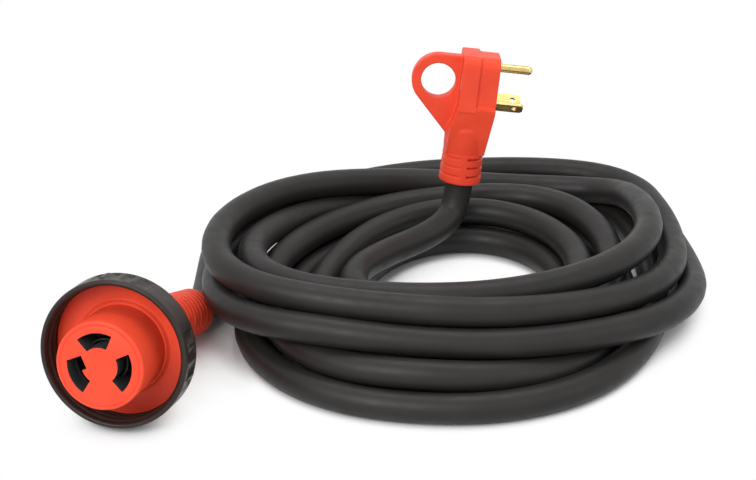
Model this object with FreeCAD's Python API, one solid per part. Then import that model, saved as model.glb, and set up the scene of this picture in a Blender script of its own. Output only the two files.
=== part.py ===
# Shore power cord for a caravan, lying in a loose pile.
# A twist-lock connector with a locking ring is on one end, a plug with a finger loop on the other.
# Millimetres. The floor is z = 0 and +Z is up. The connector faces -Y, the plug's pins point to +X.
import FreeCAD, Part
import os
from math import acos, atan2, cos, degrees, pi, radians, sin, sqrt, tan

from FreeCAD import Vector

os.makedirs("parts", exist_ok=True)

# Where the row's origin lies, seen from the middle of the pile's layout
MOVE = Vector(41.7, 119.0, 0)

# Cord
CORD_R = 8.5
FLOOR_Z = CORD_R
END_STRAIGHT = 17.0

# Clearances
RUN_FIT = 0.05
SEAT_FIT = 0.05

# Connector, measured along its own axis, which points out of its face
RING_CENTRE = Vector(-135.9, -209.0, 41.6)
CONNECTOR_YAW = 13.0
CONNECTOR_TILT = 12.8
CONNECTOR_ROLL = 43.0
NECK_R = 31.5
FLANGE_OVERHANG = 5.9
FLANGE_R = NECK_R + FLANGE_OVERHANG
FLANGE_FRONT = -6.0
FLANGE_THICK = 2.6
FLANGE_BACK = FLANGE_FRONT - FLANGE_THICK
SHELL_END = -38.0
SHELL_END_R = 17.5
BOSS_R = 23.7
BOSS_STEP = 0.4
BOSS_ROOT_R = BOSS_R - BOSS_STEP
COLLAR_WIDTH = 2.3
COLLAR_HEIGHT = 1.8
BOSS_SEAT = -10.0
BOSS_FACE = 28.0
SLOT_OUT_R = 17.6
SLOT_IN_R = 10.7
SLOT_FLOOR = 8.0
CONTACT_TOP = 18.0
LEAF = 0.9
STEM_R = 2.5
BARREL_R = 3.2
BARREL_TOP = -11.0
BARREL_END = -22.0
STEM_AT_R = (SLOT_OUT_R + SLOT_IN_R) / 2
WIRE_R = 1.9
WIRE_AT_R = 3.4

# Slot name, start and end angle in degrees, counted anticlockwise seen from the front
SLOTS = [
    ("hot", 26.0, 91.0),
    ("neutral", 272.0, 345.0),
    ("ground", 134.0, 197.0),
]
GROUND_TAB = [(-12.9, 13.0), (-4.3, 10.2), (-6.5, 3.0), (-11.2, 4.7)]

# Locking ring
RING_BORE_R = FLANGE_R + RUN_FIT
RING_WALL = 3.05
RING_R = RING_BORE_R + RING_WALL
RING_FRONT = 10.0
RING_LIP = 2.3
RING_BACK = FLANGE_BACK - 0.1 - RING_LIP
LIP_FIT = 0.7
RING_LIP_R = NECK_R + LIP_FIT
GRIP_ANGLES = [33.4, 58.4]
GRIP_WIDTH = 2.6
GRIP_HEIGHT = 0.7
GRIP_LENGTH = 11.0
GRIP_START = -4.5
DISH_R = 7.0
DISH_DEPTH = 0.9
DISH_APART = 7.0

# Connector boot, on an axis of its own that droops to the floor
BOOT_END = Vector(-107.5, -117.0, 12.95)
BOOT_START_R = 16.0
BOOT_END_R = 13.5
BOOT_GROOVES = 7

# Plug, measured from the middle of its cord exit: X along the pins, Z up the plug
PLUG_EXIT = Vector(50.4, -22.0, 52.9)
PLUG_LEAN = Vector(0.104, 0.14, 0.985)
RELIEF_R = 13.0
RELIEF_TOP_R = 12.5
RELIEF_LENGTH = 19.0
BLOCK_BACK = -7.2
BLOCK_FRONT = 3.6
BLOCK_TOP = 81.2
BLOCK_BOTTOM = 47.0
BLOCK_HALF = 16.0
FACE_X = 15.5
FACE_TOP = 80.4
FACE_BOTTOM = 45.5
FACE_HALF = 14.0
LOOP_X = -20.4
LOOP_Z = 62.5
LOOP_R = 16.2
HOLE_R = 10.5
LOOP_THICK = 8.0
CARRIER_BACK = 3.0
CARRIER_FRONT = 11.0
GROUND_PIN_Z = 73.2
GROUND_PIN_R = 2.6
PIN_STEP = 0.4
PIN_REVEAL = 0.3
RECESS_FIT = 0.4
RECESS_DEPTH = 0.5
GROUND_PIN_TIP = 36.0
BLADE_Z = 51.4
BLADE_Y = 8.7
BLADE_TIP = 32.0
BLADE_WIDTH = 8.0
BLADE_THICK = 1.7
TAIL_X = -1.4
TAIL_R = 2.8
STUB_TOP = 24.0


# Plain helpers

def unit(v):
    return v / v.Length


def axes_placement(origin, x_dir, z_dir):
    z = unit(z_dir)
    x = unit(x_dir - z * x_dir.dot(z))
    y = z.cross(x)
    return FreeCAD.Placement(origin, FreeCAD.Rotation(x, y, z, "ZXY"))


def revolve(points):
    # Turns a closed outline of (radius, height) points about the local Z axis
    corners = [Vector(r, 0, z) for r, z in points]
    outline = Part.makePolygon(corners + [corners[0]])
    return Part.Face(outline).revolve(Vector(0, 0, 0), Vector(0, 0, 1), 360)


def rod(radius, start, end):
    return Part.makeCylinder(radius, (end - start).Length, start, unit(end - start))


def slab(z_low, z_high, size=200.0):
    return Part.makeBox(2 * size, 2 * size, z_high - z_low, Vector(-size, -size, z_low))


def slanted_rod(radius, start, end):
    # A rod between two level planes, with its ends cut flat on them
    step = unit(end - start) * 3 * radius
    return rod(radius, start - step, end + step).common(slab(min(start.z, end.z), max(start.z, end.z)))


def sector(r_out, r_in, z_low, z_high, start, end):
    height = z_high - z_low
    base = Vector(0, 0, z_low)
    outer = Part.makeCylinder(r_out, height, base, Vector(0, 0, 1), end - start)
    outer.rotate(Vector(0, 0, 0), Vector(0, 0, 1), start)
    return outer.cut(Part.makeCylinder(r_in, height, base, Vector(0, 0, 1)))


def prism(points, thickness):
    # A plate from an outline of (x, z) points, centred on y = 0
    corners = [Vector(x, -thickness / 2, z) for x, z in points]
    outline = Part.makePolygon(corners + [corners[0]])
    return Part.Face(outline).extrude(Vector(0, thickness, 0))


def polar(radius, angle, z):
    return Vector(radius * cos(radians(angle)), radius * sin(radians(angle)), z)


PARTS = {}


def keep(name, shape, placement=None):
    shape = shape.copy()
    if placement is not None:
        shape.transformShape(placement.toMatrix())
    shape.translate(MOVE)
    PARTS[name] = shape


# Connector frame: Z out of the face, X up and to the right of somebody facing it
yaw = radians(CONNECTOR_YAW)
tilt = radians(CONNECTOR_TILT)
roll = radians(CONNECTOR_ROLL)
face_out = Vector(-sin(yaw) * cos(tilt), -cos(yaw) * cos(tilt), sin(tilt))
level_right = Vector(cos(yaw), -sin(yaw), 0)
steep_up = face_out.cross(level_right)
connector_x = level_right * cos(roll) + steep_up * sin(roll)
CONNECTOR = axes_placement(RING_CENTRE, connector_x, face_out)

# Boot frame: Z from the shell's back end to the cord exit
boot_pivot = CONNECTOR.multVec(Vector(0, 0, SHELL_END))
boot_axis = unit(BOOT_END - boot_pivot)
boot_length = (BOOT_END - boot_pivot).Length
BOOT = axes_placement(boot_pivot, Vector(1, 0, 0), boot_axis)

# Plug frame
PLUG = axes_placement(PLUG_EXIT, Vector(1, 0, 0), PLUG_LEAN)


def connector_shell():
    outside = revolve([
        (0, FLANGE_FRONT), (FLANGE_R, FLANGE_FRONT), (FLANGE_R, FLANGE_BACK), (NECK_R, FLANGE_BACK),
        (NECK_R, -12.5), (NECK_R - 2, -20), (SHELL_END_R + 0.8, SHELL_END + 1.5), (SHELL_END_R, SHELL_END),
        (0, SHELL_END),
    ])
    seat_r = BOSS_ROOT_R + SEAT_FIT
    seat = Part.makeCylinder(seat_r, 20, Vector(0, 0, BOSS_SEAT))
    inside = revolve([
        (0, BOSS_SEAT + 1), (19.5, BOSS_SEAT + 1), (19.5, -20), (9.5, -34), (7.6, -36.5),
        (7.6, SHELL_END - 1), (0, SHELL_END - 1),
    ])
    # A low collar strengthens the root of the boss
    collar = revolve([
        (seat_r, FLANGE_FRONT), (seat_r + COLLAR_WIDTH, FLANGE_FRONT), (seat_r, FLANGE_FRONT + COLLAR_HEIGHT),
    ])
    return outside.cut(seat).cut(inside).fuse(collar).removeSplitter()


def slot_shape(start, end, margin, z_low, z_high):
    edge = degrees(margin / STEM_AT_R)
    return sector(SLOT_OUT_R - margin, SLOT_IN_R + margin, z_low, z_high, start + edge, end - edge)


def tab_shape(z_low, z_high):
    corners = [Vector(x, y, z_low) for x, y in GROUND_TAB]
    outline = Part.makePolygon(corners + [corners[0]])
    return Part.Face(outline).extrude(Vector(0, 0, z_high - z_low))


def contact_block():
    # The root that sits in the shell is a step narrower than the boss
    shoulder = FLANGE_FRONT + COLLAR_HEIGHT + 0.6
    block = Part.makeCylinder(BOSS_R, BOSS_FACE - shoulder, Vector(0, 0, shoulder))
    block = block.fuse(Part.makeCylinder(BOSS_ROOT_R, shoulder - BOSS_SEAT, Vector(0, 0, BOSS_SEAT)))
    rim = [e for e in block.Edges if len(e.Vertexes) == 1 and abs(e.Vertexes[0].Z - BOSS_FACE) < 0.01]
    block = block.makeChamfer(0.9, rim)
    ring_groove = sector(21.9, 21.3, BOSS_FACE - 0.4, BOSS_FACE + 1, 0, 360)
    block = block.cut(ring_groove)
    for name, start, end in SLOTS:
        block = block.cut(slot_shape(start, end, 0, SLOT_FLOOR, BOSS_FACE + 1))
        if name == "ground":
            block = block.cut(tab_shape(SLOT_FLOOR, BOSS_FACE + 1))
        foot = polar(STEM_AT_R, (start + end) / 2, BOSS_SEAT - 1)
        block = block.cut(Part.makeCylinder(STEM_R + SEAT_FIT, SLOT_FLOOR - BOSS_SEAT + 2, foot))
    return block.removeSplitter()


def contact(start, end):
    # Two curved leaves on a shared floor, a stem through the block and a barrel for the wire
    gap = 0.35
    whole = slot_shape(start, end, gap, SLOT_FLOOR, CONTACT_TOP)
    hollow = sector(SLOT_OUT_R - gap - LEAF, SLOT_IN_R + gap + LEAF, SLOT_FLOOR + 1.2, CONTACT_TOP + 1,
                    start - 5, end + 5)
    middle = (start + end) / 2
    stem = rod(STEM_R, polar(STEM_AT_R, middle, BARREL_TOP), polar(STEM_AT_R, middle, SLOT_FLOOR + 0.6))
    barrel = rod(BARREL_R, polar(STEM_AT_R, middle, BARREL_END), polar(STEM_AT_R, middle, BARREL_TOP))
    return whole.cut(hollow).fuse(stem).fuse(barrel).removeSplitter()


def locking_ring():
    lip_front = RING_BACK + RING_LIP
    body = revolve([
        (RING_LIP_R, RING_BACK), (RING_R - 3.3, RING_BACK), (RING_R - 0.9, RING_BACK + 2.5),
        (RING_R, RING_BACK + 6.5), (RING_R, RING_FRONT - 1.4), (RING_R - 0.8, RING_FRONT),
        (RING_BORE_R + 0.75, RING_FRONT), (RING_BORE_R, RING_FRONT - 0.8), (RING_BORE_R, lip_front),
        (RING_LIP_R, lip_front),
    ])
    dish_at = RING_R + DISH_R - DISH_DEPTH
    grip_r = RING_R + GRIP_HEIGHT
    inner = RING_R - 0.8 * RING_WALL
    for quarter in range(4):
        for angle in GRIP_ANGLES:
            around = angle + 90 * quarter
            # A shallow dish on each side of the rib gives the fingers a hold
            for side in (-DISH_APART, DISH_APART):
                dish = Part.makeCylinder(DISH_R, GRIP_LENGTH, polar(dish_at, around + side, GRIP_START - 1))
                body = body.cut(dish)
            rib = Part.makeBox(grip_r - inner, GRIP_WIDTH, GRIP_LENGTH,
                               Vector(inner, -GRIP_WIDTH / 2, GRIP_START))
            rib.rotate(Vector(0, 0, 0), Vector(0, 0, 1), around)
            body = body.fuse(rib.common(Part.makeCylinder(grip_r, 40, Vector(0, 0, -20))))
    return body.removeSplitter()


def connector_boot():
    taper = (BOOT_START_R - BOOT_END_R) / boot_length
    body = revolve([
        (0, -8), (BOOT_START_R, -8), (BOOT_START_R, 2), (BOOT_END_R + 0.5, boot_length - 4),
        (BOOT_END_R + 0.5, boot_length - 1.2), (BOOT_END_R - 0.5, boot_length), (0, boot_length),
    ])
    for i in range(BOOT_GROOVES):
        z = boot_length - 8.0 - 4.6 * i
        r = BOOT_END_R + (boot_length - z) * taper
        body = body.cut(revolve([(r - 0.7, z - 0.5), (r + 2, z - 1.3), (r + 2, z + 1.3), (r - 0.7, z + 0.5)]))
    return body.cut(Part.makeCylinder(CORD_R + SEAT_FIT, boot_length + 20, Vector(0, 0, -10)))


def behind_shell(shape):
    # Keeps what lies behind the shell's back end, which is tilted against the boot's axis
    shape = shape.copy()
    shape.transformShape(BOOT.toMatrix())
    front = slab(SHELL_END, SHELL_END + 60, 60)
    front.transformShape(CONNECTOR.toMatrix())
    return shape.cut(front)


def plug_relief():
    body = revolve([
        (0, 0), (RELIEF_R - 1.0, 0), (RELIEF_R, 1.0), (RELIEF_TOP_R, RELIEF_LENGTH), (0, RELIEF_LENGTH),
    ])
    # Three slots on each side leave a plain web at the front and at the back
    for i in range(3):
        z = 4.6 + 5.1 * i
        cut = sector(RELIEF_R + 2, RELIEF_R - 2.2, z, z + 1.5, -58, 58)
        body = body.cut(cut)
        cut = cut.copy()
        cut.rotate(Vector(0, 0, 0), Vector(0, 0, 1), 180)
        body = body.cut(cut)
    return body.cut(Part.makeCylinder(CORD_R + SEAT_FIT, RELIEF_LENGTH + 2, Vector(0, 0, -1)))


def tangent_point(outside, centre, radius):
    # Where a line from the outside point touches the circle, on the lower left
    dx = outside[0] - centre[0]
    dz = outside[1] - centre[1]
    reach = sqrt(dx * dx + dz * dz)
    angle = atan2(dz, dx) - acos(radius / reach)
    return (centre[0] + radius * cos(angle), centre[1] + radius * sin(angle))


def plug_wires(radius):
    # From the cord's end to the tails of the ground pin and of both blades
    ground = slanted_rod(radius, Vector(-3.2, 0, STUB_TOP), Vector(TAIL_X, 0, GROUND_PIN_Z - 8))
    near = slanted_rod(radius, Vector(1.7, -WIRE_AT_R, STUB_TOP), Vector(TAIL_X, -BLADE_Y, BLADE_Z - 9))
    far = slanted_rod(radius, Vector(1.7, WIRE_AT_R, STUB_TOP), Vector(TAIL_X, BLADE_Y, BLADE_Z - 9))
    return ground, near, far


def blade(side, grow=0.0):
    # Flat blade turned by 45 degrees, with a hole near its tip and a cut corner on both edges
    length = BLADE_TIP - TAIL_X
    half = BLADE_WIDTH / 2 + grow
    thick = BLADE_THICK + 2 * grow
    outline = [
        (TAIL_X, -half), (BLADE_TIP - 1.6, -half), (BLADE_TIP, -half + 1.6), (BLADE_TIP, half - 1.6),
        (BLADE_TIP - 1.6, half), (TAIL_X, half),
    ]
    plate = prism(outline, thick)
    if grow == 0:
        plate = plate.cut(Part.makeCylinder(1.8, 6, Vector(BLADE_TIP - 5.0, -3, 0), Vector(0, 1, 0)))
    plate.rotate(Vector(0, 0, 0), Vector(1, 0, 0), 45 if side < 0 else -45)
    plate.translate(Vector(0, side * BLADE_Y, BLADE_Z))
    return plate


def tail(z_top, y):
    return Part.makeCylinder(TAIL_R, 8, Vector(TAIL_X, y, z_top - 8))


def ground_pin(grow=0.0):
    # The part that the moulding holds is a step thinner than the shaft in front of the face
    shoulder = FACE_X + PIN_REVEAL
    tip = GROUND_PIN_TIP - GROUND_PIN_R
    root = rod(GROUND_PIN_R - PIN_STEP + grow, Vector(TAIL_X, 0, GROUND_PIN_Z), Vector(shoulder, 0, GROUND_PIN_Z))
    shaft = rod(GROUND_PIN_R + grow, Vector(shoulder, 0, GROUND_PIN_Z), Vector(tip, 0, GROUND_PIN_Z))
    return root.fuse(shaft).fuse(Part.makeSphere(GROUND_PIN_R + grow, Vector(tip, 0, GROUND_PIN_Z)))


def plug_cavity():
    return Part.makeBox(CARRIER_FRONT + 4.7, 24.4, 31.2, Vector(-4.7, -12.2, 46.6))


def plug_housing():
    block = Part.makeBox(BLOCK_FRONT - BLOCK_BACK, 2 * BLOCK_HALF, BLOCK_TOP - BLOCK_BOTTOM,
                         Vector(BLOCK_BACK, -BLOCK_HALF, BLOCK_BOTTOM))
    along_x = [e for e in block.Edges if abs(e.tangentAt(0).x) > 0.9 and e.Vertexes[0].Z > 70]
    block = block.makeFillet(5.0, along_x)
    front = Part.makeBox(FACE_X - BLOCK_FRONT + 1, 2 * FACE_HALF, FACE_TOP - FACE_BOTTOM,
                         Vector(BLOCK_FRONT - 1, -FACE_HALF, FACE_BOTTOM))
    along_x = [e for e in front.Edges if abs(e.tangentAt(0).x) > 0.9 and e.Vertexes[0].Z > 70]
    front = front.makeFillet(6.0, along_x)

    # The neck is what its side outline and its front outline have in common
    side = prism([(-11.2, 16), (12.3, 16), (12.6, 20), (FACE_X, 46.5), (FACE_X, 50), (BLOCK_BACK, 50),
                  (-10.6, 34)], 60)
    broad = prism([(-7, 14), (7, 14), (11.6, 31.0), (BLOCK_HALF, 50), (-BLOCK_HALF, 50), (-11.6, 31.0)], 60)
    broad.rotate(Vector(0, 0, 0), Vector(0, 0, 1), 90)
    neck = side.common(broad)
    stalk = revolve([(0, 12), (RELIEF_TOP_R - 0.4, 12), (11.7, 34), (0, 34)])

    foot = (-10.9, 28.5)
    touch = tangent_point(foot, (LOOP_X, LOOP_Z), LOOP_R)
    plate = prism([(LOOP_X, LOOP_Z + LOOP_R), (-3, LOOP_Z + LOOP_R), (-3, 29.5), foot, touch,
                   (LOOP_X, LOOP_Z)], LOOP_THICK)
    disc = Part.makeCylinder(LOOP_R, LOOP_THICK, Vector(LOOP_X, -LOOP_THICK / 2, LOOP_Z), Vector(0, 1, 0))
    loop = plate.fuse(disc).removeSplitter()
    hole = Part.makeCylinder(HOLE_R, 20, Vector(LOOP_X, -10, LOOP_Z), Vector(0, 1, 0))
    loop = loop.cut(hole)

    body = block.fuse([front, neck, stalk, loop]).removeSplitter()
    body = body.cut(slab(-40, RELIEF_LENGTH))
    body = body.cut(hole)
    body = body.cut(plug_cavity())
    body = body.cut(Part.makeCylinder(CORD_R + SEAT_FIT, STUB_TOP, Vector(0, 0, 0)))
    for channel in plug_wires(WIRE_R + SEAT_FIT):
        body = body.cut(channel)
    for side in (-1, 1):
        foot = Vector(TAIL_X, side * BLADE_Y, BLADE_Z - 9)
        body = body.cut(Part.makeCylinder(TAIL_R + SEAT_FIT, 12, foot))
        body = body.cut(blade(side, SEAT_FIT))
    # A shallow recess keeps the face clear of the ground pin's shoulder
    recess = Part.makeCylinder(GROUND_PIN_R + RECESS_FIT, 2, Vector(FACE_X - RECESS_DEPTH, 0, GROUND_PIN_Z),
                               Vector(1, 0, 0))
    return body.cut(recess).cut(ground_pin(SEAT_FIT))


def pin_carrier():
    body = Part.makeBox(CARRIER_FRONT - CARRIER_BACK, 24.3, 31.1, Vector(CARRIER_BACK, -12.15, 46.65))
    body = body.cut(ground_pin(SEAT_FIT))
    for side in (-1, 1):
        body = body.cut(blade(side, SEAT_FIT))
    return body


# Connector pieces
CONTACTS = {}
keep("connector_shell", connector_shell(), CONNECTOR)
keep("contact_block", contact_block(), CONNECTOR)
for slot_name, slot_start, slot_end in SLOTS:
    middle = (slot_start + slot_end) / 2
    piece = contact(slot_start, slot_end)
    wire = slanted_rod(WIRE_R, polar(STEM_AT_R, middle, BARREL_END), polar(WIRE_AT_R, middle, SHELL_END))
    keep("contact_" + slot_name, piece, CONNECTOR)
    keep("connector_wire_" + slot_name, wire, CONNECTOR)
keep("locking_ring", locking_ring(), CONNECTOR)
keep("connector_boot", behind_shell(connector_boot()))
cord_in_boot = Part.makeCylinder(CORD_R, boot_length + 8, Vector(0, 0, -8))
keep("connector_cord_end", behind_shell(cord_in_boot))

# Plug
keep("plug_housing", plug_housing(), PLUG)
keep("plug_relief", plug_relief(), PLUG)
keep("pin_carrier", pin_carrier(), PLUG)
keep("ground_pin", ground_pin().fuse(tail(GROUND_PIN_Z, 0)).removeSplitter(), PLUG)
keep("blade_neutral", blade(-1).fuse(tail(BLADE_Z - 1, -BLADE_Y)).removeSplitter(), PLUG)
keep("blade_hot", blade(1).fuse(tail(BLADE_Z - 1, BLADE_Y)).removeSplitter(), PLUG)
ground_wire, near_wire, far_wire = plug_wires(WIRE_R)
keep("plug_wire_ground", ground_wire, PLUG)
keep("plug_wire_neutral", near_wire, PLUG)
keep("plug_wire_hot", far_wire, PLUG)
keep("plug_cord_end", Part.makeCylinder(CORD_R, STUB_TOP, Vector(0, 0, 0)), PLUG)


# Coil. Each turn passes a back, right, front and left station, clockwise seen from above.
# The stations were read off the photo: how far out each strand lies, and what it rests on.
TURNS = [
    [(75.4, 76.4, 8.5), (194.3, -76.7, 13.4), (37.9, -190.8, 35.1), (-94.6, -112.9, 31.6)],
    [(74.7, 58.3, 8.6), (175.6, -67, 27.4), (38.1, -176.8, 48.8), (-99.3, -111.8, 50.3)],
    [(79.9, 65.3, 24.6), (162.1, -57, 45.7), (38, -155.9, 48.2), (-81.3, -107.7, 56.1)],
    [(69.7, 46.5, 29.3), (159, -84, 11.1), (38, -214.1, 8.8), (-73.7, -117.9, 8.5)],
    [(59.9, 37.1, 8.5), (140.9, -84, 14.2), (38.1, -191.3, 8.5), (-65.2, -107.7, 37.9)],
    [(53.8, 21.9, 33), (123, -84.1, 12), (36.1, -173.9, 12.4), (-41, -105.6, 34.1)],
    [(45.2, 17.4, 12.8), (105.4, -83.6, 9.2), (33.9, -156.5, 8.7), (-34.6, -103.8, 10.8)],
    [(41.8, -0.2, 10.1), (90.5, -82.3, 29.1), (32, -140.2, 15.6), (-7, -100.2, 34.6)],
    [(38.1, -18.4, 9.8), (81.9, -80.2, 11.8), (28.1, -123.6, 8.5), (-12, -88.1, 8.5)],
]
COIL_START = Vector(-102.5, -55, FLOOR_Z)
COIL_END = Vector(-3, -69, FLOOR_Z)
COIL_END_HEADING = Vector(0.76, 0.65, 0)
HEADINGS = [Vector(1, 0, 0), Vector(0, -1, 0), Vector(-1, 0, 0), Vector(0, 1, 0)]
ARC_OVER_CHORD = 1.11


def coil_stations():
    # Position and heading at each station. A strand that lies on the floor runs level there.
    points = [COIL_START] + [Vector(*p) for turn in TURNS for p in turn] + [COIL_END]
    headings = [Vector(0, 1, 0)]
    for i in range(1, len(points) - 1):
        before = points[i - 1]
        after = points[i + 1]
        here = points[i]
        length = ARC_OVER_CHORD * ((here - before).Length + (after - here).Length)
        slope = 0 if here.z <= FLOOR_Z else (after.z - before.z) / length
        headings.append(unit(HEADINGS[(i - 1) % 4] + Vector(0, 0, slope)))
    headings.append(unit(COIL_END_HEADING))
    return points, headings


def biarc_corners(p0, t0, p1, t1):
    # Two equal legs that make both arcs tangent: p0, corner, joint, corner, p1
    v = p1 - p0
    a = 2 * (1 - t0.dot(t1))
    b = 2 * v.dot(t0 + t1)
    c = -v.dot(v)
    leg = (-b + sqrt(b * b - 4 * a * c)) / (2 * a)
    c0 = p0 + t0 * leg
    c1 = p1 - t1 * leg
    return c0, (c0 + c1) / 2, c1


def arc_point(start, corner, end, share):
    # A point on the arc that touches both legs of a corner, at a share of its turn
    u = unit(corner - start)
    w = unit(end - corner)
    turn = acos(max(-1.0, min(1.0, u.dot(w))))
    radius = (corner - start).Length / tan(turn / 2)
    inward = unit(w - u * w.dot(u))
    angle = turn * share
    return start + u * (radius * sin(angle)) + inward * (radius * (1 - cos(angle)))


def arc_radius(start, corner, end):
    turn = (corner - start).getAngle(end - corner)
    return (corner - start).Length / tan(turn / 2)


def sweep(edges, radius):
    spine = Part.Wire(edges)
    first = edges[0]
    start = first.valueAt(first.FirstParameter)
    heading = first.tangentAt(first.FirstParameter)
    section = Part.Wire(Part.Circle(start, heading, radius).toShape())
    return spine.makePipeShell([section], True, False)


def coil():
    points, headings = coil_stations()
    begin = points[0] - headings[0] * END_STRAIGHT
    finish = points[-1] + headings[-1] * END_STRAIGHT
    edges = [Part.LineSegment(begin, points[0]).toShape()]
    samples = [begin]
    least = 1e9
    for i in range(len(points) - 1):
        c0, joint, c1 = biarc_corners(points[i], headings[i], points[i + 1], headings[i + 1])
        for start, corner, end in ((points[i], c0, joint), (joint, c1, points[i + 1])):
            middle = arc_point(start, corner, end, 0.5)
            edges.append(Part.Arc(start, middle, end).toShape())
            least = min(least, arc_radius(start, corner, end))
            steps = int(edges[-1].Length / 2.0) + 1
            samples += [arc_point(start, corner, end, k / steps) for k in range(steps)]
    samples.append(points[-1])
    edges.append(Part.LineSegment(points[-1], finish).toShape())
    print("coil: tightest radius %.1f mm" % least)
    return edges, samples


def least_gap(samples):
    # Nearest approach of the tube to itself, leaving out what is within 60 mm along the cord
    along = [0.0]
    for a, b in zip(samples[:-1], samples[1:]):
        along.append(along[-1] + (b - a).Length)
    flat = [(p.x, p.y, p.z, s) for p, s in zip(samples, along)]
    nearest = 1e18
    for i, (ax, ay, az, sa) in enumerate(flat):
        for bx, by, bz, sb in flat[i + 25:]:
            if sb - sa > 60:
                d = (ax - bx) ** 2 + (ay - by) ** 2 + (az - bz) ** 2
                if d < nearest:
                    nearest = d
    return sqrt(nearest) - 2 * CORD_R


def lead(points, name):
    # A free stretch: straight runs joined by tangent arcs
    edges = []
    here = points[0]
    radii = []
    for before, corner, after in zip(points[:-2], points[1:-1], points[2:]):
        run = min((corner - before).Length, (after - corner).Length)
        start = corner - unit(corner - before) * 0.45 * run
        end = corner + unit(after - corner) * 0.45 * run
        edges.append(Part.LineSegment(here, start).toShape())
        edges.append(Part.Arc(start, arc_point(start, corner, end, 0.5), end).toShape())
        radii.append(arc_radius(start, corner, end))
        here = end
    edges.append(Part.LineSegment(here, points[-1]).toShape())
    print(name + ": bend radii " + ", ".join("%.0f" % r for r in radii) + " mm")
    return edges


def check_volume(name, shape, edges):
    length = sum(e.Length for e in edges)
    print("%s: length %.0f mm, volume over section times length %.4f, solids %d, valid %s"
          % (name, length, shape.Volume / (pi * CORD_R ** 2 * length), len(shape.Solids), shape.isValid()))


coil_edges, coil_samples = coil()
cord_coil = sweep(coil_edges, CORD_R)
check_volume("cord_coil", cord_coil, coil_edges)
print("coil: least gap to itself %.2f mm" % least_gap(coil_samples))
keep("cord_coil", cord_coil)

coil_begin = COIL_START - Vector(0, 1, 0) * END_STRAIGHT
to_floor = (BOOT_END.z - FLOOR_Z) / -boot_axis.z
connector_route = [
    BOOT_END,
    BOOT_END + boot_axis * to_floor,
    coil_begin,
]
connector_edges = lead(connector_route, "connector_lead")
connector_lead = sweep(connector_edges, CORD_R)
check_volume("connector_lead", connector_lead, connector_edges)
keep("connector_lead", connector_lead)

coil_finish = COIL_END + unit(COIL_END_HEADING) * END_STRAIGHT
plug_up = unit(PLUG_LEAN)
plug_route = [
    coil_finish,
    coil_finish + unit(COIL_END_HEADING) * 16,
    Vector(34, -37.4, 14.2),
    Vector(43, -29.2, 24.5),
    PLUG_EXIT - plug_up * 15.2,
    PLUG_EXIT,
]
plug_edges = lead(plug_route, "plug_lead")
plug_lead = sweep(plug_edges, CORD_R)
check_volume("plug_lead", plug_lead, plug_edges)
keep("plug_lead", plug_lead)

def measured_box(shape):
    # The real extent of a solid, from its mesh: low corner and high corner
    points = shape.tessellate(0.1)[0]
    low = Vector(min(p.x for p in points), min(p.y for p in points), min(p.z for p in points))
    high = Vector(max(p.x for p in points), max(p.y for p in points), max(p.z for p in points))
    return low, high


def joined(boxes):
    low = Vector(min(b[0].x for b in boxes), min(b[0].y for b in boxes), min(b[0].z for b in boxes))
    high = Vector(max(b[1].x for b in boxes), max(b[1].y for b in boxes), max(b[1].z for b in boxes))
    return low, high


BOXES = {}
for part_name, shape in PARTS.items():
    if not shape.isValid() or len(shape.Solids) != 1:
        print("LOOK AT", part_name, shape.isValid(), len(shape.Solids))
    shape.exportStep("parts/%s.step" % part_name)
    low, high = BOXES[part_name] = measured_box(shape)
    print("%-24s x %6.1f to %6.1f  y %6.1f to %6.1f  z %6.2f to %6.1f" % (
        part_name, low.x, high.x, low.y, high.y, low.z, high.z))

whole_low, whole_high = joined(list(BOXES.values()))
ends_low, ends_high = joined([b for n, b in BOXES.items() if n not in ("cord_coil", "connector_lead", "plug_lead")])
ends_middle = (ends_low + ends_high) / 2
print("whole: %.1f by %.1f by %.1f mm, lowest point %.2f" % (
    whole_high.x - whole_low.x, whole_high.y - whole_low.y, whole_high.z - whole_low.z, whole_low.z))
print("plug and connector: middle at x %.2f, y %.2f, %.1f by %.1f mm" % (
    ends_middle.x, ends_middle.y, ends_high.x - ends_low.x, ends_high.y - ends_low.y))
print("%d pieces" % len(PARTS))
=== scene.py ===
from math import acos, cos, pi, radians, sin, sqrt, tan

import bmesh
import bpy
import numpy
from mathutils import Matrix, Vector


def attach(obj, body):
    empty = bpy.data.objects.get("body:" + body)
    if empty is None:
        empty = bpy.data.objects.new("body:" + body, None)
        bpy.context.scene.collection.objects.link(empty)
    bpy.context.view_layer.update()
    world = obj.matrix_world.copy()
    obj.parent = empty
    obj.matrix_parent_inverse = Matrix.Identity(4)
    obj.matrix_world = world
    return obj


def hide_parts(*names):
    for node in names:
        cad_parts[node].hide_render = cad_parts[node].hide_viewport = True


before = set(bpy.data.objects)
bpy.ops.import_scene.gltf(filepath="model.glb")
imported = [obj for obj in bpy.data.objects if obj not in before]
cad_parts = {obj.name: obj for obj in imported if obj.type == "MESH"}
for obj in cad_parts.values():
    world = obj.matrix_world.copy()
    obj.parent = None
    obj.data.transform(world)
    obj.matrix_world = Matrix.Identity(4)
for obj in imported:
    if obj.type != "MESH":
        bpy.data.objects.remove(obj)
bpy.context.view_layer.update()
BODY = "cord_set"
RING_BODY = "ring"
MM = 0.001

# The shift from the layout to the row frame, and the places that part.py builds on, in millimetres
MOVE = Vector((41.7, 119.0, 0.0))
RING_CENTRE = Vector((-135.9, -209.0, 41.6))
CONNECTOR_YAW = radians(13.0)
CONNECTOR_TILT = radians(12.8)
CONNECTOR_ROLL = radians(43.0)
SHELL_END = -38.0
BOOT_END = Vector((-107.5, -117.0, 12.95))
PLUG_EXIT = Vector((50.4, -22.0, 52.9))
PLUG_LEAN = Vector((0.104, 0.14, 0.985))
CORD_R = 8.5


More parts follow.
